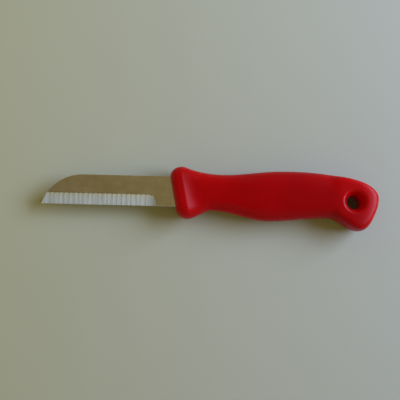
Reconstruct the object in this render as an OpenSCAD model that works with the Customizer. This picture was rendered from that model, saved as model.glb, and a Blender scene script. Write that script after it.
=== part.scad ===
// Small serrated kitchen knife with a one-piece moulded handle, lying on its side.
// The blade points to -X and its edge to -Y. The side with the grind looks up, along +Z.
// In the sub-part modules x starts at the handle's front, y at the blade's edge line
// and z at the blade's middle plane.

/* [Blade] */
// Length of the blade that shows, from the tip to the handle
blade_len = 72; // [60:1:100]
// Height of the blade, from the edge to the spine
blade_h = 17; // [14:0.5:19]
// Thickness of the blade's steel
blade_t = 1.2; // [0.8:0.1:2]
// Length of the rounded nose, where the spine drops to the tip
nose_len = 23; // [18:1:30]

/* [Grind] */
// Height of the ground bevel above the edge
bevel_h = 6.2; // [4:0.1:8]
// Length of the bevel at full depth, from the tip
bevel_len = 62.6; // [45:0.2:64]
// Radius of the grinding wheel's curve where the bevel runs out
runout_r = 2; // [2:0.5:6]
// Thickness that the grind leaves at the edge
edge_t = 0.22; // [0.16:0.02:0.4]
// Width of a flute, from ridge to ridge
flute_w = 2.7; // [2:0.1:4]
// Depth of a flute below the bevel
flute_depth = 0.06; // [0.04:0.01:0.12]
// Length of the plain stretch between the last flute and the bevel's end
plain_end_len = 1.1; // [0.6:0.1:2]

/* [Tang] */
// Length of the full-height heel that the plastic holds
heel_len = 7; // [5:0.5:9]
// Length of the tang inside the handle, from the handle's front
tang_len = 66; // [50:1:76]
// Height of the tang
tang_h = 11; // [8:0.5:12]
// Height of the tang's lower side above the edge line
tang_y = 3; // [2:0.5:4]
// Diameter of the holes that the plastic flows through
key_d = 5; // [3:0.5:6]
// Number of those holes
key_count = 3; // [1:1:4]

/* [Handle outline] */
// Length of the handle along the knife
handle_len = 116.4; // [105:0.2:130]
// Height of the collar at the front
collar_h = 29.4; // [26:0.2:33]
// Reach of the collar below the edge line
collar_drop = 6.8; // [5:0.2:9]
// Length of the collar along the knife
collar_len = 12; // [10:0.5:14]
// Lean of the front face, in degrees
front_lean = 12; // [6:1:16]
// Height of the slim waist behind the collar
waist_h = 20.4; // [18:0.2:22]
// Reach of the finger notch below the edge line
notch_drop = 1.8; // [0:0.2:3]
// Height of the belly that fills the palm
belly_h = 28.3; // [25:0.1:31]
// Reach of the belly below the edge line
belly_drop = 7; // [5:0.1:9]
// Reach of the hollow behind the belly
recess_drop = 4.6; // [3:0.2:5.4]
// Reach of the hook at the butt
hook_drop = 11.3; // [9:0.1:13]

/* [Handle thickness] */
// Thickness of the collar
collar_t = 17; // [14:0.5:20]
// Thickness of the waist
waist_t = 12.4; // [10:0.2:13.6]
// Thickness of the belly
belly_t = 15.6; // [14:0.2:20]
// Thickness of the butt round the hole
butt_t = 15; // [12:0.5:17]
// Thickness to which the butt tapers at its end
end_t = 11.2; // [9:0.2:12]
// Depth of the flat that gives the lower flank its soft crease
crease_depth = 0.3; // [0:0.05:0.5]

/* [Hanging hole] */
// Diameter of the hole's straight throat
hole_d = 8; // [6:0.5:9.5]
// Length of the straight throat
throat_len = 7; // [3:0.5:7.5]
// Lean of the wall from the throat to the mouth, in degrees
mouth_draft = 25; // [10:1:28]
// Radius of the rounded lip at both faces
mouth_round = 2.3; // [1:0.1:2.4]
// Distance from the hole's axis to the butt
hole_inset = 14.2; // [12:0.2:15]
// Height of the hole's axis above the edge line
hole_y = 4.4; // [3.6:0.2:6]

/* [Hidden] */
steel_colour = "#b4b3aa";
plastic_colour = "#ab0f16";

// Length by which a cut runs past the solid that it cuts
overrun = 2;
// Number of sides that draws a round tool
round_sides = 96;

// Whole knife
knife_len = blade_len + handle_len;
top_y = max(collar_h - collar_drop, belly_h - belly_drop, blade_h);
low_y = -max(collar_drop, belly_drop, hook_drop);
rest_z = max(collar_t, belly_t, butt_t) / 2;
front_x = blade_len - knife_len / 2;

// Blade
nose_r = (nose_len * nose_len + blade_h * blade_h) / (2 * blade_h);
grind_fall = blade_t - edge_t;
grind_angle = atan(grind_fall / bevel_h);
flute_r = flute_w * flute_w / (8 * flute_depth) + flute_depth / 2;
flutes_len = bevel_len - plain_end_len;
flute_count = floor(flutes_len / flute_w);
// Share of a flute's depth by which its ridges also lie under the plain bevel
ridge_share = 0.2;
key_step = (tang_len - heel_len) / (key_count + 0.5);

// Places along the handle, as shares of its length
notch_x_share = 0.202;
waist_x_share = 0.253;
belly_x_share = 0.470;
crest_x_share = 0.525;
recess_x_share = 0.759;
flank_x_share = 0.836;
tail_x_share = 0.876;
hook_x_share = 0.905;
shoulder_x_share = 0.967;
heel_side_x_share = 0.9725;
// Places along the collar, as shares of its length
face_x_share = 0.04;
collar_top_x_share = 0.54;
collar_low_x_share = 0.81;
nape_x_share = 1.0;
neck_x_share = 1.42;
// Heights of the points between those of named height, as shares of a named one
face_y_share = 0.82;
chin_y_share = 0.34;
neck_y_share = 0.63;
nape_y_share = 0.93;
tail_y_share = 0.826;
shoulder_y_share = 0.615;
butt_y_share = 0.335;
heel_side_y_share = 0.36;
flank_y_share = 0.722;

// Heights of the named points above the edge line
collar_top_y = collar_h - collar_drop;
waist_top_y = waist_h - notch_drop;
crest_y = belly_h - belly_drop;
face_y = blade_h * face_y_share;
chin_y = -collar_drop * chin_y_share;
face_x = collar_len * face_x_share;

// The outline of the handle, clockwise from the top of the collar: the places that it passes
outline_places = [
    [collar_len * collar_top_x_share, collar_top_y],
    [collar_len * nape_x_share, collar_top_y * nape_y_share],
    [handle_len * waist_x_share, waist_top_y],
    [handle_len * crest_x_share, crest_y],
    [handle_len * tail_x_share, crest_y * tail_y_share],
    [handle_len * shoulder_x_share, crest_y * shoulder_y_share],
    [handle_len, crest_y * butt_y_share],
    [handle_len * heel_side_x_share, -hook_drop * heel_side_y_share],
    [handle_len * hook_x_share, -hook_drop],
    [handle_len * flank_x_share, -hook_drop * flank_y_share],
    [handle_len * recess_x_share, -recess_drop],
    [handle_len * belly_x_share, -belly_drop],
    [handle_len * notch_x_share, -notch_drop],
    [collar_len * neck_x_share, -collar_drop * neck_y_share],
    [collar_len * collar_low_x_share, -collar_drop],
    [face_x + (face_y - chin_y) * tan(front_lean), chin_y],
    [face_x, face_y],
    [0, blade_h],
];
// Its heading at each of them, in degrees
outline_angles = [0, -15, 0, 2, -14.5, -36, -90, -115, -180, -215, -180, -180, -180, -153, -180,
    front_lean - 270, front_lean - 271, -270];
// The number of steps from each of them to the next
outline_step_counts = [4, 8, 10, 10, 5, 5, 4, 7, 5, 4, 9, 10, 4, 5, 7, 6, 2, 7];
// Number of those places on the top side and round the butt. The bottom side takes as many
// steps as the top side.
top_place_count = 4;
butt_place_count = 5;

// Loft of the handle: how far each ring lies from the middle line, as shares of the way
ring_shares = [1, 0.996, 0.98, 0.945, 0.885, 0.81, 0.72, 0.62, 0.44, 0.22];
// Share of the way at which the lower flank's crease lies
crease_ring_share = 0.62;
// Powers of the cross-section: higher is squarer
body_power = 3.2;
collar_power = 5.5;
butt_power = 16;
// Where the collar's squarer section begins to fade and is gone, as shares of its length
square_end_shares = [0.7, 1.5];
// Where the collar's back begins to fall, as a share of its length
collar_back_share = 0.54;
// The fall's steep part, at the collar's top and at the edge line: where it ends, as a share of
// the collar's length, and its share of the whole fall
steep_end_shares = [0.96, 1.26];
steep_part_shares = [0.3, 1];
// Power that makes it steep at its start
fall_power = 0.57;
// Where the slow rest of the fall ends, as a share of the collar's length
slow_end_share = 2.6;
// Where the crease comes in, is full, begins to fade and is gone, as shares of the handle
crease_x_shares = [0.15, 0.23, 0.40, 0.54];
// Where the butt's squarer section comes in and is full, as shares of the handle
butt_x_shares = [0.76, 0.88];
// Where the butt's even thickness begins and where it ends
even_x_shares = [0.82, 0.90];
// Power that leaves most of the taper to the butt's last stretch
taper_power = 3;
// Radius of the curve along which the taper runs, as a share of the handle's length
end_curve_share = 0.17;
// Share of the pairs, from the butt, over which the middle line swings to the hole
swing_share = 0.25;

// Hanging hole
throat_r = hole_d / 2;
// Height of the centre of the lip's round over the throat's end
round_rise = (butt_t - throat_len) / 2 - mouth_round;
mouth_r = throat_r + (mouth_round + round_rise * sin(mouth_draft)) / cos(mouth_draft);
// Number of steps that draw the round, and the angle at which it turns into a straight chamfer
lip_count = 8;
lip_end_angle = 15;

// A smooth step from 0 to 1
function ease(t) = let(c = min(max(t, 0), 1)) c * c * (3 - 2 * c);
// The same between two places
function ease_between(a, b, x) = ease((x - a) / (b - a));
function mix(a, b, t) = a + (b - a) * t;
function unit(heading) = [cos(heading), sin(heading)];

// Points of the curve from place k to the next one, which leaves out that one itself
place_count = len(outline_places);
function stretch_points(k) =
    let(
        next = (k + 1) % place_count,
        p = outline_places[k],
        q = outline_places[next],
        turn = (outline_angles[next] - outline_angles[k] + 540) % 360 - 180,
        reach = norm(q - p) / (3 * pow(cos(turn / 4), 2)),
        p1 = p + reach * unit(outline_angles[k]),
        q1 = q - reach * unit(outline_angles[next]),
        count = outline_step_counts[k]
    )
    [for (i = [0:count - 1])
        let(t = i / count, s = 1 - t)
        s * s * s * p + 3 * s * s * t * p1 + 3 * s * t * t * q1 + t * t * t * q];
outline = [for (k = [0:place_count - 1]) each stretch_points(k)];
outline_count = len(outline);

// Number of outline steps before a place
function steps_before(k) = k == 0 ? 0 : outline_step_counts[k - 1] + steps_before(k - 1);
pair_count = steps_before(top_place_count);
bottom_start = steps_before(top_place_count + butt_place_count);
front_start = bottom_start + pair_count;

// The middle line has a point for each pair of points at the top and the bottom
hole_place = [handle_len - hole_inset, hole_y];
function middle_point(j) =
    let(
        half_way = (outline[j] + outline[front_start - j]) / 2,
        swing = ease_between(1 - swing_share, 1, j / pair_count)
    )
    mix(half_way, hole_place, swing);
middle = [for (j = [0:pair_count]) middle_point(j)];

// The middle point that outline point i looks at
function pair_of(i) =
    i <= pair_count ? i
    : i <= bottom_start ? pair_count
    : i <= front_start ? front_start - i
    : 0;

// Half the thickness of the body at a place along the handle
function body_half(x) =
    x < handle_len * belly_x_share
    ? mix(waist_t, belly_t, ease_between(handle_len * notch_x_share,
                                         handle_len * belly_x_share, x)) / 2
    : mix(belly_t, butt_t, ease_between(handle_len * belly_x_share,
                                        handle_len * even_x_shares[0], x)) / 2;

// How much thinner one side of the butt is toward its curved end
function end_taper(x, y) =
    let(
        bow = pow(y - crest_y * butt_y_share, 2) / (2 * handle_len * end_curve_share),
        t = ((x + bow) / handle_len - even_x_shares[1]) / (1 - even_x_shares[1])
    )
    pow(max(t, 0), taper_power) * (butt_t - end_t) / 2;

// What the collar adds to it, along its leaning back
function collar_half(x, y) =
    let(
        along = x - (blade_h - y) * tan(front_lean),
        low = ease_between(collar_top_y, 0, y),
        start = collar_len * collar_back_share,
        end = collar_len * mix(steep_end_shares[0], steep_end_shares[1], low),
        steep = ease(pow(min(max((along - start) / (end - start), 0), 1), fall_power)),
        slow = ease_between(start, collar_len * slow_end_share, along),
        steep_part = mix(steep_part_shares[0], steep_part_shares[1], low)
    )
    (1 - mix(slow, steep, steep_part)) * (collar_t - waist_t) / 2;

function power_at(x) =
    body_power
    + (collar_power - body_power) * (1 - ease_between(collar_len * square_end_shares[0],
                                                      collar_len * square_end_shares[1], x))
    + (butt_power - body_power) * ease_between(handle_len * butt_x_shares[0],
                                               handle_len * butt_x_shares[1], x);

// The flat on the lower flank: none at the crease and at the outline, full between them
function crease_cut(x, share) =
    let(
        w = ease_between(handle_len * crease_x_shares[0], handle_len * crease_x_shares[1], x)
            * (1 - ease_between(handle_len * crease_x_shares[2],
                                handle_len * crease_x_shares[3], x)),
        room = 1 - crease_ring_share
    )
    share <= crease_ring_share ? 0
    : crease_depth * w * 4 * (share - crease_ring_share) * (1 - share) / (room * room);

// A point of the handle's upper skin: its height over the blade's middle plane
function skin_point(i, share) =
    let(
        c = middle[pair_of(i)],
        p = mix(c, outline[i], share),
        half = body_half(p[0]) + collar_half(p[0], p[1]) - end_taper(p[0], p[1]),
        round_off = sqrt(max(1 - pow(share, power_at(p[0])), 0)),
        low = outline[i][1] < c[1]
    )
    [p[0], p[1], half * round_off - (low ? crease_cut(p[0], share) : 0)];

ring_count = len(ring_shares);
skin_count = (ring_count - 1) * outline_count + pair_count + 1;
upper_skin = [
    for (k = [1:ring_count - 1], i = [0:outline_count - 1]) skin_point(i, ring_shares[k]),
    for (j = [0:pair_count]) skin_point(j, 0),
];
body_points = [
    for (p = outline) [p[0], p[1], 0],
    for (p = upper_skin) p,
    for (p = upper_skin) [p[0], p[1], -p[2]],
];

// Number of the point in ring k (0 is the outline), on the upper (0) or lower (1) skin
function ring_index(k, i, side) =
    k == 0 ? i % outline_count
    : outline_count + side * skin_count + (k - 1) * outline_count + i % outline_count;
function middle_index(j, side) =
    outline_count + side * skin_count + (ring_count - 1) * outline_count + j;

// Faces of one skin. The outline runs clockwise, as the faces of the upper skin must.
function turned(face, side) = side == 0 ? face : [face[2], face[1], face[0]];
function skin_faces(side) = [
    for (k = [0:ring_count - 2], i = [0:outline_count - 1])
        let(
            a = ring_index(k, i, side),
            b = ring_index(k, i + 1, side),
            c = ring_index(k + 1, i + 1, side),
            d = ring_index(k + 1, i, side)
        )
        each [turned([a, b, c], side), turned([a, c, d], side)],
    for (i = [0:outline_count - 1])
        let(
            a = ring_index(ring_count - 1, i, side),
            b = ring_index(ring_count - 1, i + 1, side),
            c = middle_index(pair_of((i + 1) % outline_count), side),
            d = middle_index(pair_of(i), side)
        )
        each c == d ? [turned([a, b, c], side)]
            : [turned([a, b, c], side), turned([a, c, d], side)],
];

module moulded_body() {
    polyhedron(points = body_points, faces = concat(skin_faces(0), skin_faces(1)), convexity = 6);
}

// The hole's tool: a straight throat that widens on both sides to a rounded lip
module hole_tool() {
    lip = [for (i = [0:lip_count])
        let(a = mix(90 - mouth_draft, lip_end_angle, i / lip_count))
        [mouth_r - mouth_round * sin(a), butt_t / 2 - mouth_round * (1 - cos(a))]];
    end = [lip[lip_count][0] + overrun / tan(lip_end_angle), lip[lip_count][1] + overrun];
    upper = concat([[throat_r, throat_len / 2]], lip, [end]);
    lower = [for (i = [len(upper) - 1:-1:0]) [upper[i][0], -upper[i][1]]];
    translate([hole_place[0], hole_place[1], 0])
        rotate_extrude($fn = round_sides)
            polygon(concat([[0, end[1]], [0, -end[1]]], lower, upper));
}

// The blade's blank in plan: the rounded nose, the long body, the heel and the tang
module blank_outline() {
    intersection() {
        translate([nose_len - blade_len, blade_h - nose_r])
            circle(r = nose_r, $fn = round_sides);
        translate([-blade_len, 0])
            square([nose_len, blade_h]);
    }
    translate([nose_len - blade_len, 0])
        square([blade_len - nose_len + heel_len, blade_h]);
    translate([0, tang_y])
        square([tang_len, tang_h]);
}

// The blank as a flat plate, with the holes that the plastic flows through
module blank() {
    difference() {
        translate([0, 0, -blade_t / 2])
            linear_extrude(blade_t)
                blank_outline();
        for (k = [1:key_count])
            translate([heel_len + k * key_step - key_step / 4, tang_y + tang_h / 2, 0])
                cylinder(d = key_d, h = 2 * blade_t, center = true, $fn = round_sides);
    }
}

// The room over the bevel's plane, which falls from its top line to the edge, or over a plane
// that lies deeper. It stops at the bevel's end.
module bevel_tool(depth) {
    reach = bevel_h / cos(grind_angle);
    translate([-blade_len - overrun, bevel_h, blade_t / 2])
        rotate([grind_angle, 0, 0])
            translate([0, -reach - overrun, -depth])
                cube([bevel_len + overrun, reach + 2 * overrun, depth + blade_t + overrun]);
}

// A round wheel whose lowest line lies in the bevel's plane, sunk by a depth
module wheel_tool(x, r, depth) {
    reach = bevel_h / cos(grind_angle);
    translate([x, bevel_h, blade_t / 2])
        rotate([grind_angle, 0, 0])
            translate([0, overrun, r - depth])
                rotate([90, 0, 0])
                    cylinder(r = r, h = reach + 2 * overrun, $fn = round_sides);
}

module blade() {
    color(steel_colour)
        translate([front_x, -(top_y + low_y) / 2, rest_z])
            difference() {
                blank();
                bevel_tool(0);
                wheel_tool(bevel_len - blade_len, runout_r, 0);
                for (k = [0:flute_count])
                    intersection() {
                        bevel_tool(2 * flute_depth);
                        wheel_tool(flutes_len - blade_len - (k + 1 / 2) * flute_w,
                                   flute_r, flute_depth * (1 + ridge_share));
                    }
            }
}

module handle() {
    color(plastic_colour)
        translate([front_x, -(top_y + low_y) / 2, rest_z])
            difference() {
                moulded_body();
                blank();
                hole_tool();
            }
}

blade();
handle();
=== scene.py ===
import math

import bpy
import numpy as np
from mathutils import Matrix, Vector


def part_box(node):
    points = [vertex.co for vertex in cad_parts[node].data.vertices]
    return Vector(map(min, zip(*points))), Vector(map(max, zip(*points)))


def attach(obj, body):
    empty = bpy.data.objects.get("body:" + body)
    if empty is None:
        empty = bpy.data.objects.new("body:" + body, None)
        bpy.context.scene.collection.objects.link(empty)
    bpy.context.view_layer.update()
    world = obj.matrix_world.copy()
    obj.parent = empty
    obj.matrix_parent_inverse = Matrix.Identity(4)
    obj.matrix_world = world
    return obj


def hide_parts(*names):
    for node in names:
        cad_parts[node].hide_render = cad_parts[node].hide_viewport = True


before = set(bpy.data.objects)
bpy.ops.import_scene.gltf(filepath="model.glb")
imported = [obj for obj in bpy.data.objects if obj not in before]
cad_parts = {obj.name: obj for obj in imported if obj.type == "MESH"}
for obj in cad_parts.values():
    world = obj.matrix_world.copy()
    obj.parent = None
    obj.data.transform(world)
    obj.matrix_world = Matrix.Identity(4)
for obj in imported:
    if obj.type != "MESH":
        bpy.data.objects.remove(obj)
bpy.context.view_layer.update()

# Lengths are in millimetres until a mesh or a place enters the scene. Those of the materials,
# the floor and the window are in metres.
MM = 0.001

# Blade, as in the part's source
BLADE_LEN = 72.0
BLADE_H = 17.0
BLADE_T = 1.2
NOSE_LEN = 23.0
NOSE_R = (NOSE_LEN**2 + BLADE_H**2) / (2 * BLADE_H)
BEVEL_H = 6.2
BEVEL_LEN = 62.6
RUNOUT_R = 2.0
EDGE_T = 0.22
FLUTE_W = 2.7
FLUTE_DEPTH = 0.06
FLUTE_R = FLUTE_W**2 / (8 * FLUTE_DEPTH) + FLUTE_DEPTH / 2
RIDGE_SHARE = 0.2
PLAIN_END_LEN = 1.1
HEEL_LEN = 7.0
# Round of the spine's two long corners, and the height over the bevel at which it begins
SPINE_ROUND = 0.12
ROUND_START = 1.0
ROUND_SEGMENTS = 2

# Handle, as in the part's source
HANDLE_LEN = 116.4
COLLAR_H = 29.4
COLLAR_DROP = 6.8
COLLAR_LEN = 12.0
FRONT_LEAN = 12.0
WAIST_H = 20.4
NOTCH_DROP = 1.8
BELLY_H = 28.3
BELLY_DROP = 7.0
RECESS_DROP = 4.6
HOOK_DROP = 11.3
COLLAR_T = 17.0
WAIST_T = 12.4
BELLY_T = 15.6
BUTT_T = 15.0
END_T = 11.2
CREASE_DEPTH = 0.3
HOLE_D = 8.0
THROAT_LEN = 7.0
MOUTH_DRAFT = 25.0
MOUTH_ROUND = 2.3
HOLE_INSET = 14.2
HOLE_Y = 4.4

# Places along the handle, as shares of its length
NOTCH_X_SHARE = 0.202
WAIST_X_SHARE = 0.253
BELLY_X_SHARE = 0.47
CREST_X_SHARE = 0.525
RECESS_X_SHARE = 0.759
FLANK_X_SHARE = 0.836
TAIL_X_SHARE = 0.876
HOOK_X_SHARE = 0.905
SHOULDER_X_SHARE = 0.967
HEEL_SIDE_X_SHARE = 0.9725
# Places along the collar, as shares of its length
FACE_X_SHARE = 0.04
COLLAR_TOP_X_SHARE = 0.54
COLLAR_LOW_X_SHARE = 0.81
NAPE_X_SHARE = 1.0
NECK_X_SHARE = 1.42
# Heights of the places between those of named height, as shares of a named one
FACE_Y_SHARE = 0.82
CHIN_Y_SHARE = 0.34
NECK_Y_SHARE = 0.63
NAPE_Y_SHARE = 0.93
TAIL_Y_SHARE = 0.826
SHOULDER_Y_SHARE = 0.615
BUTT_Y_SHARE = 0.335
HEEL_SIDE_Y_SHARE = 0.36
FLANK_Y_SHARE = 0.722

# Powers of the handle's cross-section: higher is squarer
BODY_POWER = 3.2
COLLAR_POWER = 5.5
BUTT_POWER = 16.0
# Where the collar's squarer section begins to fade and is gone, as shares of its length
SQUARE_END_SHARES = (0.7, 1.5)
# Where the collar's back begins to fall, as a share of its length
COLLAR_BACK_SHARE = 0.54
# The fall's steep part, at the collar's top and at the edge line: where it ends, as a share of
# the collar's length, and its share of the whole fall
STEEP_END_SHARES = (0.96, 1.26)
STEEP_PART_SHARES = (0.3, 1.0)
# Power that makes it steep at its start
FALL_POWER = 0.57
# Where the slow rest of the fall ends, as a share of the collar's length
SLOW_END_SHARE = 2.6
# Share of the way out at which the lower flank's crease lies
CREASE_RING_SHARE = 0.62
# Where the crease comes in and is full, and where it begins to fade and is gone, as shares of
# the handle's length
CREASE_IN_SHARES = (0.15, 0.23)
CREASE_OUT_SHARES = (0.40, 0.54)
# Where the butt's squarer section comes in and is full
BUTT_X_SHARES = (0.76, 0.88)
# Where the butt's even thickness begins and where it ends
EVEN_X_SHARES = (0.82, 0.90)
# Power that leaves most of the taper to the butt's last stretch
TAPER_POWER = 3
# Radius of the curve along which the taper runs, as a share of the handle's length
END_CURVE_SHARE = 0.17

COLLAR_TOP_Y = COLLAR_H - COLLAR_DROP
CREST_Y = BELLY_H - BELLY_DROP
BUTT_Y = CREST_Y * BUTT_Y_SHARE
FACE_X = COLLAR_LEN * FACE_X_SHARE
FACE_Y = BLADE_H * FACE_Y_SHARE
CHIN_Y = -COLLAR_DROP * CHIN_Y_SHARE
CHIN_X = FACE_X + (FACE_Y - CHIN_Y) * math.tan(math.radians(FRONT_LEAN))

# The handle's outline, clockwise from the top of the collar: the places that it passes, its
# heading there in degrees, and the number of steps to the next place
PLACES = [
    ((COLLAR_LEN * COLLAR_TOP_X_SHARE, COLLAR_TOP_Y), 0, 4),
    ((COLLAR_LEN * NAPE_X_SHARE, COLLAR_TOP_Y * NAPE_Y_SHARE), -15, 8),
    ((HANDLE_LEN * WAIST_X_SHARE, WAIST_H - NOTCH_DROP), 0, 10),
    ((HANDLE_LEN * CREST_X_SHARE, CREST_Y), 2, 10),
    ((HANDLE_LEN * TAIL_X_SHARE, CREST_Y * TAIL_Y_SHARE), -14.5, 5),
    ((HANDLE_LEN * SHOULDER_X_SHARE, CREST_Y * SHOULDER_Y_SHARE), -36, 5),
    ((HANDLE_LEN, BUTT_Y), -90, 4),
    ((HANDLE_LEN * HEEL_SIDE_X_SHARE, -HOOK_DROP * HEEL_SIDE_Y_SHARE), -115, 7),
    ((HANDLE_LEN * HOOK_X_SHARE, -HOOK_DROP), -180, 5),
    ((HANDLE_LEN * FLANK_X_SHARE, -HOOK_DROP * FLANK_Y_SHARE), -215, 4),
    ((HANDLE_LEN * RECESS_X_SHARE, -RECESS_DROP), -180, 9),
    ((HANDLE_LEN * BELLY_X_SHARE, -BELLY_DROP), -180, 10),
    ((HANDLE_LEN * NOTCH_X_SHARE, -NOTCH_DROP), -180, 4),
    ((COLLAR_LEN * NECK_X_SHARE, -COLLAR_DROP * NECK_Y_SHARE), -153, 5),
    ((COLLAR_LEN * COLLAR_LOW_X_SHARE, -COLLAR_DROP), -180, 7),
    ((CHIN_X, CHIN_Y), FRONT_LEAN - 270, 6),
    ((FACE_X, FACE_Y), FRONT_LEAN - 271, 2),
    ((0.0, BLADE_H), -270, 7),
]
# Number of those places on the top side and round the butt. The bottom side takes as many steps
# as the top side.
TOP_PLACES = 4
BUTT_PLACES = 5
# Number of the butt's own place, from 0. The lines to the hole's land turn over the hole before
# that place, and under it past the place.
BUTT_PLACE = 6

# Hanging hole: its axis, its throat's radius, the angle through which its lip's round turns, and
# the radius of the land round it, at which the skin's lines end
HOLE = np.array([HANDLE_LEN - HOLE_INSET, HOLE_Y])
THROAT_R = HOLE_D / 2
LIP_ANGLE = math.radians(90 - MOUTH_DRAFT)
LAND_R = 8.4

# How much finer than the source's own steps the handle's mesh is
FINE = 4
# Numbers of rings over the skin, the land, the lip, the leaning wall and the throat
SKIN_RINGS = 34
LAND_RINGS = 4
LIP_RINGS = 16
CONE_RINGS = 5
THROAT_RINGS = 3
# Power that crowds the skin's rings together near the outline, where it turns over
RING_POWER = 0.62
# Pair of outline steps, from the collar, at which the middle line meets the land round the hole
LAND_PAIR = 28
# Share of the way to there over which the middle line swings to the land
SWING_SHARE = 0.25

# Blade's grid. Its columns run from the tip, close together there and in the flutes.
TIP_LEN = 3.0
TIP_COLUMNS = 13
TIP_POWER = 1.6
COLUMNS_PER_FLUTE = 18
PLAIN_COLUMNS = 12
# Its rows run from the edge, close together across the bevel's top line: from, to and number
GRID_ROWS = (
    (0.0, BEVEL_H - 0.9, 22),
    (BEVEL_H - 0.8, BEVEL_H + 1.2, 34),
    (BEVEL_H + 1.5, BLADE_H, 26),
)
# Share of the wheel's radius up to which the bevel follows its curve
WHEEL_SHARE = 0.999
# Depth under the side over which its finish turns into that of the grind
FINISH_DEPTH = 0.08

# Distance within which a vertex counts as lying on a face or a curve
CLOSE = 0.001
# Number of decimals by which two vertices are told apart
PLACE_DIGITS = 5

# Where the knife's own frame lies in the row frame. It starts at the handle's front, at the edge
# line and in the middle plane.
BODY_LOW, BODY_HIGH = (np.array(corner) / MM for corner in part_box("handle"))
MIDDLE_Z = (BODY_LOW[2] + BODY_HIGH[2]) / 2
ORIGIN = np.array([BODY_HIGH[0] - HANDLE_LEN, BODY_HIGH[1] - COLLAR_TOP_Y, MIDDLE_Z])


def to_row(points):
    """From the knife's own frame in millimetres to the row frame in metres."""
    return (points + ORIGIN) * MM


def knife_points(mesh):
    """A mesh's vertices in the knife's own frame."""
    co = np.empty(len(mesh.vertices) * 3)
    mesh.vertices.foreach_get("co", co)
    return co.reshape(-1, 3) / MM - ORIGIN


def ease(t):
    """A smooth step from 0 to 1."""
    t = np.clip(t, 0.0, 1.0)
    return t * t * (3 - 2 * t)


def ease_between(a, b, x):
    """The same between two places."""
    return ease((x - a) / (b - a))


def mix(a, b, t):
    return a + (b - a) * t


def unit(heading):
    """The direction of a heading in degrees."""
    return np.array([math.cos(math.radians(heading)), math.sin(math.radians(heading))])


def stretch(k):
    """Points of the outline's curve from place k to the next one, without that one itself."""
    p, heading, steps = PLACES[k]
    q, next_heading, _ = PLACES[(k + 1) % len(PLACES)]
    p, q = np.array(p), np.array(q)
    turn = (next_heading - heading + 540) % 360 - 180
    reach = np.linalg.norm(q - p) / (3 * math.cos(math.radians(turn / 4)) ** 2)
    p1 = p + reach * unit(heading)
    q1 = q - reach * unit(next_heading)
    t = (np.arange(steps * FINE) / (steps * FINE))[:, None]
    s = 1 - t
    return s**3 * p + 3 * s * s * t * p1 + 3 * s * t * t * q1 + t**3 * q


def steps_before(place):
    """Number of the mesh's outline steps before a place."""
    return FINE * sum(steps for _, _, steps in PLACES[:place])


def body_half(x):
    """Half the thickness of the handle's body at a place along it."""
    belly_x = HANDLE_LEN * BELLY_X_SHARE
    front = mix(WAIST_T, BELLY_T, ease_between(HANDLE_LEN * NOTCH_X_SHARE, belly_x, x)) / 2
    rear = mix(BELLY_T, BUTT_T, ease_between(belly_x, HANDLE_LEN * EVEN_X_SHARES[0], x)) / 2
    return np.where(x < belly_x, front, rear)


def end_taper(x, y):
    """How much thinner one side of the butt is toward its curved end."""
    bow = (y - BUTT_Y) ** 2 / (2 * HANDLE_LEN * END_CURVE_SHARE)
    t = ((x + bow) / HANDLE_LEN - EVEN_X_SHARES[1]) / (1 - EVEN_X_SHARES[1])
    return np.maximum(t, 0) ** TAPER_POWER * (BUTT_T - END_T) / 2


def collar_half(x, y):
    """What the collar adds to the body on one side, along its leaning back."""
    along = x - (BLADE_H - y) * math.tan(math.radians(FRONT_LEAN))
    low = ease_between(COLLAR_TOP_Y, 0, y)
    start = COLLAR_LEN * COLLAR_BACK_SHARE
    end = COLLAR_LEN * mix(*STEEP_END_SHARES, low)
    steep = ease(np.clip((along - start) / (end - start), 0, 1) ** FALL_POWER)
    slow = ease_between(start, COLLAR_LEN * SLOW_END_SHARE, along)
    return (1 - mix(slow, steep, mix(*STEEP_PART_SHARES, low))) * (COLLAR_T - WAIST_T) / 2


def power_at(x):
    """Power of the cross-section at a place along the handle."""
    collar = 1 - ease_between(*(COLLAR_LEN * share for share in SQUARE_END_SHARES), x)
    butt = ease_between(*(HANDLE_LEN * share for share in BUTT_X_SHARES), x)
    return BODY_POWER + (COLLAR_POWER - BODY_POWER) * collar + (BUTT_POWER - BODY_POWER) * butt


def crease_cut(x, share):
    """Depth of the flat on the lower flank: none at the crease and at the outline."""
    come = ease_between(*(HANDLE_LEN * place for place in CREASE_IN_SHARES), x)
    gone = ease_between(*(HANDLE_LEN * place for place in CREASE_OUT_SHARES), x)
    room = 1 - CREASE_RING_SHARE
    bow = 4 * np.maximum(share - CREASE_RING_SHARE, 0) * (1 - share) / room**2
    return CREASE_DEPTH * come * (1 - gone) * bow


def skin_height(p, share, low):
    """Height of the skin over the middle plane at points p, each a share of the way out."""
    x, y = p[:, 0], p[:, 1]
    half = body_half(x) + collar_half(x, y) - end_taper(x, y)
    rounded = np.sqrt(np.maximum(1 - share ** power_at(x), 0))
    return half * rounded - np.where(low, crease_cut(x, share), 0)


def ring_share(k):
    """How far out ring k of the skin lies, as a share of the way."""
    return math.cos(math.pi / 2 * k / SKIN_RINGS) ** RING_POWER if k < SKIN_RINGS else 0.0


def mouth_radius():
    """Radius at which the lip's quarter round begins."""
    draft = math.radians(MOUTH_DRAFT)
    rise = (BUTT_T - THROAT_LEN) / 2 - MOUTH_ROUND
    return THROAT_R + (MOUTH_ROUND + rise * math.sin(draft)) / math.cos(draft)


def lip_steps():
    """Radius of each ring over the land and the lip, and its drop under the skin."""
    mouth_r = mouth_radius()
    steps = [(r, 0.0) for r in np.linspace(LAND_R, mouth_r, LAND_RINGS + 1)[1:]]
    for k in range(1, LIP_RINGS + 1):
        a = LIP_ANGLE * k / LIP_RINGS
        steps.append((mouth_r - MOUTH_ROUND * math.sin(a), MOUTH_ROUND * (1 - math.cos(a))))
    return steps


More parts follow.
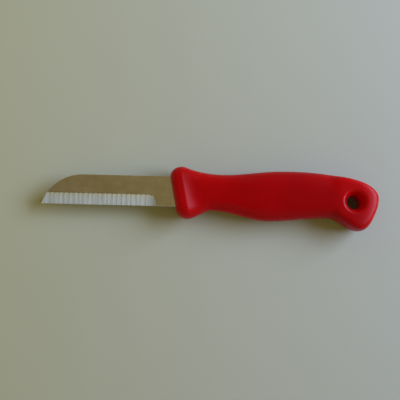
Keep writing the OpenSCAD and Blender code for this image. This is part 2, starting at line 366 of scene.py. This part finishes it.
class Loft:
    """The handle's skin, as lines from its outline to its middle line or to the hole's land."""

    def __init__(self):
        self.outline = np.vstack([stretch(k) for k in range(len(PLACES))])
        self.index = np.arange(len(self.outline))
        self.top_end = steps_before(TOP_PLACES)
        self.bottom_start = steps_before(TOP_PLACES + BUTT_PLACES)
        self.front_start = self.bottom_start + self.top_end
        self.land_start = LAND_PAIR * FINE
        self.land_end = self.front_start - self.land_start
        self.round_hole = (self.index > self.land_start) & (self.index < self.land_end)
        self.reach = np.linalg.norm(self.outline - HOLE, axis=1)
        self.turned = self.turn_to_rays()
        self.rays = self.ray_directions()
        self.inner = self.inner_points()

    def turn_to_rays(self):
        """How far each line near the hole has turned from the middle line's pairs to the rays."""
        room = self.top_end - self.land_start
        top = ease((self.index - self.land_start) / room)
        bottom = ease((self.land_end - self.index) / room)
        turned = np.where(self.index >= self.bottom_start, bottom, 1.0)
        turned = np.where(self.index <= self.top_end, top, turned)
        return np.where(self.round_hole, turned, 0.0)

    def ray_directions(self):
        """The direction from the hole's axis in which each line meets the land."""
        out = self.outline - HOLE
        ray = np.degrees(np.arctan2(out[:, 1], out[:, 0]))
        upper = self.index < steps_before(BUTT_PLACE)
        ray = np.where(~upper & (ray > 90), ray - 360, ray)
        angle = np.radians(mix(np.where(upper, 180.0, -180.0), ray, self.turned))
        return np.column_stack([np.cos(angle), np.sin(angle)])

    def middle_line(self):
        """A point for each pair of outline points at the top and at the bottom."""
        pair = np.arange(self.land_start + 1)
        half_way = (self.outline[pair] + self.outline[self.front_start - pair]) / 2
        swing = ease_between(1 - SWING_SHARE, 1, pair / self.land_start)[:, None]
        return mix(half_way, HOLE - [LAND_R, 0], swing)

    def inner_points(self):
        """The point at which each line ends."""
        pair = np.minimum(self.index, np.maximum(self.front_start - self.index, 0))
        on_middle = self.middle_line()[np.minimum(pair, self.land_start)]
        return np.where(self.round_hole[:, None], HOLE + LAND_R * self.rays, on_middle)

    def skin_rings(self):
        """Rings of points from the outline inwards, each with its height."""
        low = self.outline[:, 1] < self.inner[:, 1]
        rings = [np.column_stack([self.outline, np.zeros(len(self.outline))])]
        for k in range(1, SKIN_RINGS + 1):
            share = ring_share(k)
            p = mix(self.inner, self.outline, share)
            by_ray = np.linalg.norm(p - HOLE, axis=1) / self.reach
            way_out = mix(share, by_ray, self.turned)
            rings.append(np.column_stack([p, skin_height(p, way_out, low)]))
        return rings

    def around_hole(self):
        """The lines that end on the land, with the middle line's own end first."""
        return np.concatenate([[self.land_start], self.index[self.round_hole]])

    def hole_rings(self):
        """Rings of points from the land over the lip and down the wall to the middle plane."""
        around = self.around_hole()
        rays = self.rays[around]
        # The middle line meets the land from the left
        rays[0] = [-1, 0]
        rings = []
        for r, drop in lip_steps():
            p = HOLE + r * rays
            share = self.turned[around] * r / self.reach[around]
            rings.append(np.column_stack([p, skin_height(p, share, False) - drop]))
        lip = rings[-1]
        throat = np.column_stack([HOLE + THROAT_R * rays, np.full(len(around), THROAT_LEN / 2)])
        rings += [mix(lip, throat, k / CONE_RINGS) for k in range(1, CONE_RINGS + 1)]
        rings += [throat * [1, 1, 1 - k / THROAT_RINGS] for k in range(1, THROAT_RINGS + 1)]
        return rings


class Surface:
    """Vertices and faces of a closed mesh."""

    def __init__(self):
        self.verts = []
        self.faces = []
        self.numbers = {}

    def number(self, points):
        """The numbers of a line of vertices. Those at one place share theirs."""
        line = []
        for point, place in zip(points, np.round(points, PLACE_DIGITS)):
            key = tuple(place)
            if key not in self.numbers:
                self.numbers[key] = len(self.verts)
                self.verts.append(tuple(point))
            line.append(self.numbers[key])
        return line

    def face(self, corners, flip):
        """A face, or none where fewer than three of its corners differ."""
        corners = list(dict.fromkeys(corners))
        if len(corners) >= 3:
            self.faces.append(corners[::-1] if flip else corners)

    def band(self, outer, inner, flip):
        """Faces between two closed rings of numbered vertices."""
        for i in range(len(outer)):
            j = (i + 1) % len(outer)
            self.face((outer[i], outer[j], inner[j], inner[i]), flip)

    def patch(self, grid, flip=False):
        """Faces over a grid of points."""
        lines = [self.number(points) for points in grid]
        for a, b in zip(lines, lines[1:]):
            for i in range(len(a) - 1):
                self.face((a[i], b[i], b[i + 1], a[i + 1]), flip)

    def build(self, name):
        return build_mesh(name, to_row(np.array(self.verts)), self.faces)


def build_mesh(name, verts, faces):
    """An object with smooth shading, from vertices in metres."""
    mesh = bpy.data.meshes.new(name)
    mesh.from_pydata([tuple(v) for v in verts], [], faces)
    mesh.validate()
    mesh.polygons.foreach_set("use_smooth", [True] * len(mesh.polygons))
    obj = bpy.data.objects.new(name, mesh)
    bpy.context.scene.collection.objects.link(obj)
    return obj


def make_handle():
    loft = Loft()
    skin, hole = loft.skin_rings(), loft.hole_rings()
    surface = Surface()
    for side in (1, -1):
        rings = [surface.number(ring * [1, 1, side]) for ring in skin]
        for outer, inner in zip(rings, rings[1:]):
            surface.band(outer, inner, side < 0)
        land = [rings[-1][i] for i in loft.around_hole()]
        rings = [land] + [surface.number(ring * [1, 1, side]) for ring in hole]
        for outer, inner in zip(rings, rings[1:]):
            surface.band(outer, inner, side < 0)
    return surface.build("handle_moulding")


def runout_rise(past_end):
    """How far the wheel's curve has risen over the bevel's plane past the bevel's end."""
    d = np.clip(past_end, 0, RUNOUT_R * WHEEL_SHARE)
    return RUNOUT_R - np.sqrt(RUNOUT_R**2 - d**2)


def blade_surface(x, y):
    """Height of the ground side over the middle plane."""
    past_end = x - (BEVEL_LEN - BLADE_LEN)
    slope = (BLADE_T - EDGE_T) / BEVEL_H
    # Heights of the bevel and of the flutes over the plain side
    plane = (y - BEVEL_H) * slope
    bevel = plane + runout_rise(past_end)
    from_bottom = np.mod(-past_end - PLAIN_END_LEN, FLUTE_W) - FLUTE_W / 2
    sunk = FLUTE_DEPTH * (1 + RIDGE_SHARE)
    flutes = plane - sunk + FLUTE_R - np.sqrt(FLUTE_R**2 - from_bottom**2)
    flutes = np.where(past_end < -PLAIN_END_LEN, flutes, 0.0)
    return BLADE_T / 2 + np.minimum(np.minimum(bevel, flutes), 0)


def blade_columns():
    """Distances of the grid's columns from the tip."""
    tip = np.linspace(0, 1, TIP_COLUMNS, endpoint=False) ** TIP_POWER * TIP_LEN
    fluted = np.arange(TIP_LEN, BEVEL_LEN + RUNOUT_R, FLUTE_W / COLUMNS_PER_FLUTE)
    plain = np.linspace(BEVEL_LEN + RUNOUT_R, BLADE_LEN + HEEL_LEN, PLAIN_COLUMNS)
    return np.concatenate([tip, fluted, plain])


def spine_height(from_tip):
    """Height of the spine, which drops to the tip in the nose's curve."""
    square = np.maximum(NOSE_R**2 - (NOSE_LEN - from_tip) ** 2, 0)
    spine = np.where(from_tip < NOSE_LEN, BLADE_H - NOSE_R + np.sqrt(square), BLADE_H)
    return np.maximum(spine, 0)


def make_blade():
    """The blade as a fine grid, its rows drawn in to the nose's curve."""
    columns = blade_columns()
    rows = np.concatenate([np.linspace(*row) for row in GRID_ROWS])
    x, y = np.meshgrid(columns - BLADE_LEN, rows, indexing="ij")
    y = np.minimum(y, spine_height(columns)[:, None])
    upper = np.stack([x, y, blade_surface(x, y)], -1)
    lower = np.stack([x, y, np.full(x.shape, -BLADE_T / 2)], -1)
    surface = Surface()
    surface.patch(upper)
    surface.patch(lower, flip=True)
    surface.patch(np.stack([lower[:, 0], upper[:, 0]], 1))
    surface.patch(np.stack([upper[:, -1], lower[:, -1]], 1))
    surface.patch(np.stack([upper[-1], lower[-1]], 0))
    strip = surface.build("blade_strip")
    mark_ground(strip.data)
    round_spine(strip)
    return strip


def mark_ground(mesh):
    """Writes how far each point lies in the grind, in its flute and down the bevel."""
    x, y, z = knife_points(mesh).T
    upper_side = z > CLOSE - BLADE_T / 2
    before_end = BEVEL_LEN - BLADE_LEN - PLAIN_END_LEN - x
    marks = {
        "ground": np.clip((BLADE_T / 2 - z) / FINISH_DEPTH, 0, 1) * upper_side,
        "flute": (1 - np.cos(2 * np.pi * before_end / FLUTE_W)) / 2 * (before_end > 0),
        "down": np.clip(1 - y / BEVEL_H, 0, 1),
    }
    for name, values in marks.items():
        layer = mesh.attributes.new(name, "FLOAT", "POINT")
        layer.data.foreach_set("value", values)


def round_spine(strip):
    """Rounds the two long corners of the spine and the nose."""
    mesh = strip.data
    x, y, z = knife_points(mesh).T
    nose_x = NOSE_LEN - BLADE_LEN
    from_centre = np.hypot(x - nose_x, y - (BLADE_H - NOSE_R))
    on_nose = (np.abs(from_centre - NOSE_R) < CLOSE) & (x < nose_x)
    on_spine = (np.abs(y - BLADE_H) < CLOSE) & (x >= nose_x - CLOSE)
    corner = (on_nose | on_spine) & (y > BEVEL_H + ROUND_START) & (np.abs(z) > BLADE_T / 2 - CLOSE)
    ends = np.empty(len(mesh.edges) * 2, np.int32)
    mesh.edges.foreach_get("vertices", ends)
    a, b = ends.reshape(-1, 2).T
    rounded = corner[a] & corner[b] & (np.abs(z[a] - z[b]) < CLOSE)
    weight = mesh.attributes.new("bevel_weight_edge", "FLOAT", "EDGE")
    weight.data.foreach_set("value", rounded.astype(float))
    bevel = strip.modifiers.new("spine_round", "BEVEL")
    bevel.limit_method = "WEIGHT"
    bevel.width = SPINE_ROUND * MM
    bevel.segments = ROUND_SEGMENTS


class Nodes:
    """Short names for building the nodes of a material or of the world."""

    def __init__(self, owner, coordinates):
        owner.use_nodes = True
        self.tree = owner.node_tree
        self.place = self.add("ShaderNodeTexCoord").outputs[coordinates]

    def add(self, kind, **settings):
        node = self.tree.nodes.new(kind)
        for key, value in settings.items():
            setattr(node, key, value)
        return node

    def feed(self, socket, value):
        """Gives a socket another node's output, or a number, vector or colour of its own."""
        if isinstance(value, bpy.types.NodeSocket):
            self.tree.links.new(value, socket)
        else:
            socket.default_value = value

    def axis(self, name):
        """The place's distance along X, Y or Z."""
        node = self.add("ShaderNodeSeparateXYZ")
        self.feed(node.inputs["Vector"], self.place)
        return node.outputs[name]

    def vector_math(self, operation, vector):
        """A number worked out from the place and a fixed vector."""
        node = self.add("ShaderNodeVectorMath", operation=operation)
        self.feed(node.inputs[0], self.place)
        self.feed(node.inputs[1], vector)
        return node.outputs["Value"]

    def noise(self, per_metre, detail=2.0, roughness=0.5):
        """Noise that repeats so many times per metre along each axis."""
        scaled = self.add("ShaderNodeMapping")
        self.feed(scaled.inputs["Vector"], self.place)
        self.feed(scaled.inputs["Scale"], per_metre)
        node = self.add("ShaderNodeTexNoise")
        self.feed(node.inputs["Vector"], scaled.outputs["Vector"])
        self.feed(node.inputs["Scale"], 1.0)
        self.feed(node.inputs["Detail"], detail)
        self.feed(node.inputs["Roughness"], roughness)
        return node.outputs["Fac"]

    def attribute(self, name):
        """A number that the mesh holds at each point."""
        return self.add("ShaderNodeAttribute", attribute_name=name).outputs["Fac"]

    def ranged(self, value, span, out=(0.0, 1.0), smooth=False):
        """A value's way through a span, carried over to another span."""
        kind = "SMOOTHSTEP" if smooth else "LINEAR"
        node = self.add("ShaderNodeMapRange", interpolation_type=kind)
        self.feed(node.inputs["Value"], value)
        self.feed(node.inputs["From Min"], span[0])
        self.feed(node.inputs["From Max"], span[1])
        self.feed(node.inputs["To Min"], out[0])
        self.feed(node.inputs["To Max"], out[1])
        return node.outputs["Result"]

    def math(self, operation, a, b):
        node = self.add("ShaderNodeMath", operation=operation)
        self.feed(node.inputs[0], a)
        self.feed(node.inputs[1], b)
        return node.outputs["Value"]

    def mix(self, data_type, factor, a, b):
        node = self.add("ShaderNodeMix", data_type=data_type)
        self.feed(node.inputs["Factor"], factor)
        self.feed(node.inputs["A"], a)
        self.feed(node.inputs["B"], b)
        return node.outputs["Result"]

    def between(self, factor, a, b):
        """A number between a and b, each a number or an output."""
        return self.mix("FLOAT", factor, a, b)

    def blend(self, factor, a, b):
        """A colour between a and b, each a colour or an output."""
        a, b = (c if isinstance(c, bpy.types.NodeSocket) else (*c, 1.0) for c in (a, b))
        return self.mix("RGBA", factor, a, b)

    def bump(self, height, size, below=None):
        """A bump of a size in metres and a strength, over another bump if there is one."""
        node = self.add("ShaderNodeBump")
        self.feed(node.inputs["Height"], height)
        self.feed(node.inputs["Distance"], size[0])
        self.feed(node.inputs["Strength"], size[1])
        if below is not None:
            self.feed(node.inputs["Normal"], below)
        return node.outputs["Normal"]


class MaterialNodes(Nodes):
    """The nodes of a material round its one shader."""

    def __init__(self, name, even):
        """The shader starts with what is even all over the surface."""
        self.material = bpy.data.materials.new(name)
        super().__init__(self.material, "Object")
        self.inputs = self.tree.nodes["Principled BSDF"].inputs
        for socket, value in even.items():
            self.inputs[socket].default_value = value


# Red plastic: what is even, its patterns, and its bumps as a height and a strength
PLASTIC_EVEN = {
    "IOR": 1.22,
    "Specular Tint": (1.0, 0.78, 0.92, 1.0),
    "Subsurface Weight": 0.7,
    "Subsurface Radius": (1.0, 0.1, 0.08),
    "Subsurface Scale": 0.018,
}
CLOUDS = {"per_metre": (60, 60, 60), "detail": 3}
CLOUD_SPAN = (0.3, 0.7)
SMUDGES = {"per_metre": (140, 220, 140), "detail": 4, "roughness": 0.6}
SMUDGE_SPAN = (0.3, 0.75)
SMUDGE_ROUGHNESS = (0.22, 0.28)
PEEL = {"per_metre": (900, 900, 900), "detail": 2}
PEEL_BUMP = (0.00002, 0.35)
SCRATCHES = {"per_metre": (120, 3500, 3500), "detail": 2, "roughness": 0.7}
SCRATCH_SPAN = (0.62, 0.7)
SCRATCH_BUMP = (0.000008, 0.5)
# Distance from the middle plane at which the parting line's ridge is full and at which it ends
PARTING_SPAN = (0.00006, 0.00022)
PARTING_BUMP = (0.00006, 0.8)
# Reds of the clouds, on the plain plastic and where painted shade darkens it
UNSHADED_REDS = ((0.337, 0.0004, 0.0022), (0.378, 0.0006, 0.0026))
SHADED_REDS = ((0.276, 0.0003, 0.0022), (0.307, 0.0005, 0.0026))
# Where the painted shade comes in along x, and where it ends along a slanting line
SHADE_START = (0.01, 0.055)
SHADE_END = (0.069, 0.079)
# Brighter red painted on the hole's wall as light, and the distance from its axis over which it
# gives way to the rest
HOLE_LIGHT_RED = (0.44, 0.0006, 0.0026)
HOLE_SPAN = (0.006, 0.0095)
# Roughness that wear adds, and where along x it lies
BUTT_WEAR = (0.0, 0.09)
BUTT_SPAN = (0.066, 0.086)
COLLAR_WEAR = (0.14, 0.0)
COLLAR_SPAN = (-0.012, -0.002)


def plastic_colour(m):
    cloudy = m.ranged(m.noise(**CLOUDS), CLOUD_SPAN)
    # Painted shade: the reds are a little darker between the belly and the hole, standing in for
    # shade on the handle's rear
    come = m.ranged(m.axis("X"), SHADE_START, smooth=True)
    slanting = m.math("ADD", m.axis("X"), m.axis("Y"))
    staying = m.ranged(slanting, SHADE_END, (1.0, 0.0), smooth=True)
    painted_shade = m.math("MULTIPLY", come, staying)
    outside = m.blend(painted_shade, m.blend(cloudy, *UNSHADED_REDS), m.blend(cloudy, *SHADED_REDS))
    # Painted light: the hole's wall is a brighter red, standing in for the light that the wall
    # catches through the plastic
    from_hole = m.vector_math("DISTANCE", Vector(to_row(np.array([*HOLE, 0.0]))))
    hole_light = m.ranged(from_hole, HOLE_SPAN, (1.0, 0.0), smooth=True)
    return m.blend(hole_light, outside, HOLE_LIGHT_RED)


def plastic_roughness(m):
    """Smudged, and rubbed duller at the collar and at the butt."""
    smudged = m.ranged(m.noise(**SMUDGES), SMUDGE_SPAN, SMUDGE_ROUGHNESS)
    butt_wear = m.ranged(m.axis("X"), BUTT_SPAN, BUTT_WEAR, smooth=True)
    collar_wear = m.ranged(m.axis("X"), COLLAR_SPAN, COLLAR_WEAR, smooth=True)
    return m.math("ADD", smudged, m.math("ADD", butt_wear, collar_wear))


def plastic_normal(m):
    """A faint peel, fine scratches along the handle, and the mould's parting line."""
    peel = m.bump(m.noise(**PEEL), PEEL_BUMP)
    scratches = m.ranged(m.noise(**SCRATCHES), SCRATCH_SPAN)
    scratched = m.bump(scratches, SCRATCH_BUMP, below=peel)
    off_middle = m.math("ABSOLUTE", m.math("SUBTRACT", m.axis("Z"), MIDDLE_Z * MM), 0.0)
    line = m.ranged(off_middle, PARTING_SPAN, (1.0, 0.0), smooth=True)
    return m.bump(line, PARTING_BUMP, below=scratched)


def plastic_material():
    m = MaterialNodes("red_plastic", PLASTIC_EVEN)
    m.feed(m.inputs["Base Color"], plastic_colour(m))
    m.feed(m.inputs["Roughness"], plastic_roughness(m))
    m.feed(m.inputs["Normal"], plastic_normal(m))
    return m.material


# Steel: what is even, its patterns and its bump
STEEL_EVEN = {"Metallic": 1.0, "Anisotropic": 0.55}
GRAIN_ALONG = {"per_metre": (140, 9000, 9000), "detail": 3, "roughness": 0.65}
GRAIN_ACROSS = {"per_metre": (7000, 300, 300), "detail": 3, "roughness": 0.65}
GRAIN_BUMP = (0.000012, 0.6)
STAINS = {"per_metre": (110, 170, 110), "detail": 4, "roughness": 0.6}
STAIN_COLOUR_SPAN = (0.35, 0.7)
STAIN_ROUGHNESS_SPAN = (0.3, 0.7)
FLAT_COLOURS = ((0.66, 0.62, 0.50), (0.76, 0.72, 0.60))
FLAT_ROUGHNESS = (0.20, 0.30)
GROUND_ROUGHNESS = 0.55
# The wheel's streaks, and how much brighter than its ridges the bottom of a flute is painted, as a
# highlight
STREAKS = {"per_metre": (1500, 90, 90), "detail": 3}
STREAK_SPAN = (0.3, 0.7)
STREAK_SHINE = (-0.1, 0.7)
FLUTE_HIGHLIGHT = 0.3
# The bevel's metal, dull and bright, at its top and near the edge, and the shares of the way down
# between which it turns from one to the other: a painted reflection, warm at the top and cool near
# the edge
WARM_REFLECTION_METALS = ((0.50, 0.505, 0.38), (0.77, 0.76, 0.575))
COOL_REFLECTION_METALS = ((0.50, 0.53, 0.51), (0.77, 0.81, 0.78))
COOL_REFLECTION_SPAN = (0.05, 0.5)


def ground_colour(m):
    """Uneven streaks on the flutes, brighter flute bottoms as a painted highlight, and a painted
    reflection: warm at the bevel's top and cooler below.
    """
    streaks = m.ranged(m.noise(**STREAKS), STREAK_SPAN, STREAK_SHINE)
    # The wheel's streaks, plus a painted highlight that brightens the flute bottoms
    streaks_and_highlight = m.math("ADD", m.math("MULTIPLY", m.attribute("flute"), FLUTE_HIGHLIGHT), streaks)
    # Painted reflection: the metal's tint turns from warm to cool, bluer down the bevel
    cool_reflection = m.ranged(m.attribute("down"), COOL_REFLECTION_SPAN)
    return m.blend(cool_reflection, m.blend(streaks_and_highlight, *WARM_REFLECTION_METALS), m.blend(streaks_and_highlight, *COOL_REFLECTION_METALS))


def grind_tangent(m, ground):
    """The light spreads along the blade on the ground side, whose marks run across it."""
    node = m.add("ShaderNodeCombineXYZ")
    m.feed(node.inputs["X"], ground)
    m.feed(node.inputs["Y"], m.math("SUBTRACT", 1.0, ground))
    return node.outputs["Vector"]


def steel_material():
    m = MaterialNodes("ground_steel", STEEL_EVEN)
    ground = m.attribute("ground")
    stain = m.noise(**STAINS)
    flat = m.blend(m.ranged(stain, STAIN_COLOUR_SPAN), *FLAT_COLOURS)
    m.feed(m.inputs["Base Color"], m.blend(ground, flat, ground_colour(m)))
    flat_roughness = m.ranged(stain, STAIN_ROUGHNESS_SPAN, FLAT_ROUGHNESS)
    m.feed(m.inputs["Roughness"], m.between(ground, flat_roughness, GROUND_ROUGHNESS))
    m.feed(m.inputs["Tangent"], grind_tangent(m, ground))
    grain = m.between(ground, m.noise(**GRAIN_ALONG), m.noise(**GRAIN_ACROSS))
    m.feed(m.inputs["Normal"], m.bump(grain, GRAIN_BUMP))
    return m.material


# Floor: half its side, what is even, and its pattern
FLOOR_HALF = 3.0
FLOOR_EVEN = {"Roughness": 0.9, "Specular IOR Level": 0.1}
FLOOR_CLOUDS = {"per_metre": (9, 9, 9), "detail": 2}
FLOOR_CLOUD_SPAN = (0.3, 0.7)
FLOOR_CLOUD_SHIFT = (-0.12, 0.12)
# Its colours at the left and at the right, at the near and at the far side of the knife: painted
# light, bluer toward the window at the right and brighter on the far side
FLOOR_SPAN = (-0.12, 0.12)
NEAR_COLOURS = ((0.394, 0.427, 0.366), (0.363, 0.397, 0.412))
FAR_COLOURS = ((0.43, 0.468, 0.402), (0.399, 0.432, 0.447))


def floor_material():
    m = MaterialNodes("pale_cloth_floor", FLOOR_EVEN)
    uneven = m.ranged(m.noise(**FLOOR_CLOUDS), FLOOR_CLOUD_SPAN, FLOOR_CLOUD_SHIFT)
    # Painted light: the floor turns bluer to the right and lighter on the far side, as the window's
    # light falls
    across = m.ranged(m.axis("X"), FLOOR_SPAN)
    away = m.math("ADD", m.ranged(m.axis("Y"), FLOOR_SPAN), uneven)
    near, far = m.blend(across, *NEAR_COLOURS), m.blend(across, *FAR_COLOURS)
    m.feed(m.inputs["Base Color"], m.blend(away, near, far))
    return m.material


def make_floor():
    corners = [(x * FLOOR_HALF, y * FLOOR_HALF, 0) for x, y in ((-1, -1), (1, -1), (1, 1), (-1, 1))]
    floor = build_mesh("floor", corners, [[0, 1, 2, 3]])
    floor.data.materials.append(floor_material())


# Camera: the photograph's frame, with its scale in the plane of the blade, and the camera's roll
# and downward look in degrees
PHOTO_PX = 400
MM_PER_PX = 0.561
ROLL = 1.45
LOOK_DOWN = 81.0
DISTANCE = 276.0
# The point of the knife in the middle of the photograph, from the blade's tip and its edge line
CENTRE_FROM_TIP = (89.0, 4.05)
SENSOR_W = 36.0
# Nearest distance that the camera sees, in metres
NEAREST = 0.01


def camera_axes():
    """The camera's right, up and backward directions."""
    roll, down = math.radians(ROLL), math.radians(LOOK_DOWN)
    right = Vector((math.cos(roll), math.sin(roll), 0))
    ahead = Vector((-math.sin(roll), math.cos(roll), 0))
    back = -ahead * math.cos(down) + Vector((0, 0, 1)) * math.sin(down)
    return right, back.cross(right), back


def make_camera():
    data = bpy.data.cameras.new("camera")
    data.sensor_width = SENSOR_W
    data.lens = SENSOR_W * DISTANCE / (PHOTO_PX * MM_PER_PX)
    data.clip_start = NEAREST
    camera = bpy.data.objects.new("camera", data)
    bpy.context.scene.collection.objects.link(camera)
    bpy.context.scene.camera = camera
    target = Vector(to_row(np.array([CENTRE_FROM_TIP[0] - BLADE_LEN, CENTRE_FROM_TIP[1], 0.0])))
    right, up, back = camera_axes()
    turn = Matrix((right, up, back)).transposed().to_4x4()
    camera.matrix_world = Matrix.Translation(target + back * DISTANCE * MM) @ turn


# Window: where it lies from the knife, in degrees and metres, and its light
WINDOW_AZIMUTH = 16.0
WINDOW_ELEVATION = 31.0
WINDOW_DISTANCE = 1.1
WINDOW_SIZE = (0.9, 0.5)
WINDOW_POWER = 14.0
WINDOW_COLOUR = (0.86, 0.99, 1.24)


def make_window():
    data = bpy.data.lights.new("window", "AREA")
    data.shape = "RECTANGLE"
    data.size, data.size_y = WINDOW_SIZE
    data.energy = WINDOW_POWER
    data.color = WINDOW_COLOUR
    lamp = bpy.data.objects.new("window", data)
    a, e = math.radians(WINDOW_AZIMUTH), math.radians(WINDOW_ELEVATION)
    away = Vector((math.cos(a) * math.cos(e), math.sin(a) * math.cos(e), math.sin(e)))
    lamp.location = away * WINDOW_DISTANCE
    lamp.rotation_mode = "QUATERNION"
    lamp.rotation_quaternion = away.to_track_quat("Z", "Y")
    bpy.context.scene.collection.objects.link(lamp)


# Room: warm walls, which turn into a glow on one side. The span says how directly a direction
# has to point toward it.
WALL_COLOUR = (0.52, 0.39, 0.08)
GLOW_COLOUR = (0.50, 0.38, 0.14)
GLOW_TOWARD = (0.34, 0.94, 0.0)
GLOW_SPAN = (-0.4, 0.8)
# The walls as the camera and the reflections see them
SEEN_COLOUR = (0.42, 0.40, 0.35)
# The ceiling, and the angles over the floor at which it begins and is full
CEILING_COLOUR = (0.24, 0.188, 0.084)
CEILING_ANGLES = (40.0, 66.0)
# Something dark hangs over the knife, as the one who takes the picture does. It is full within
# the first angle from its middle and ends at the second.
OVERHEAD_COLOUR = (0.04, 0.03, 0.02)
OVERHEAD_TOWARD = (-0.33, -0.16, 0.93)
OVERHEAD_ANGLES = (8.0, 18.0)


def wall_colour(m):
    """Walls that shed warm light and look pale to the camera and in reflections."""
    glow = m.ranged(m.vector_math("DOT_PRODUCT", GLOW_TOWARD), GLOW_SPAN, smooth=True)
    warm = m.blend(glow, WALL_COLOUR, GLOW_COLOUR)
    rays = m.add("ShaderNodeLightPath").outputs
    seen = m.math("MAXIMUM", rays["Is Camera Ray"], rays["Is Glossy Ray"])
    return m.blend(seen, warm, SEEN_COLOUR)


def make_world():
    """A warm room with a darker, browner ceiling, which the blade's flat shows."""
    world = bpy.data.worlds.new("room")
    bpy.context.scene.world = world
    m = Nodes(world, "Generated")
    heights = [math.sin(math.radians(angle)) for angle in CEILING_ANGLES]
    ceiling = m.ranged(m.axis("Z"), heights, smooth=True)
    room = m.blend(ceiling, wall_colour(m), CEILING_COLOUR)
    full, end = (math.cos(math.radians(angle)) for angle in OVERHEAD_ANGLES)
    shade = m.ranged(m.vector_math("DOT_PRODUCT", OVERHEAD_TOWARD), (end, full), smooth=True)
    m.feed(m.tree.nodes["Background"].inputs["Color"], m.blend(shade, room, OVERHEAD_COLOUR))


make_camera()
make_floor()
make_window()
make_world()
bpy.context.scene.view_settings.view_transform = "Standard"

handle = make_handle()
handle.data.materials.append(plastic_material())
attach(handle, "root")
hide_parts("handle")

blade = make_blade()
blade.data.materials.append(steel_material())
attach(blade, "root")
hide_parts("blade")
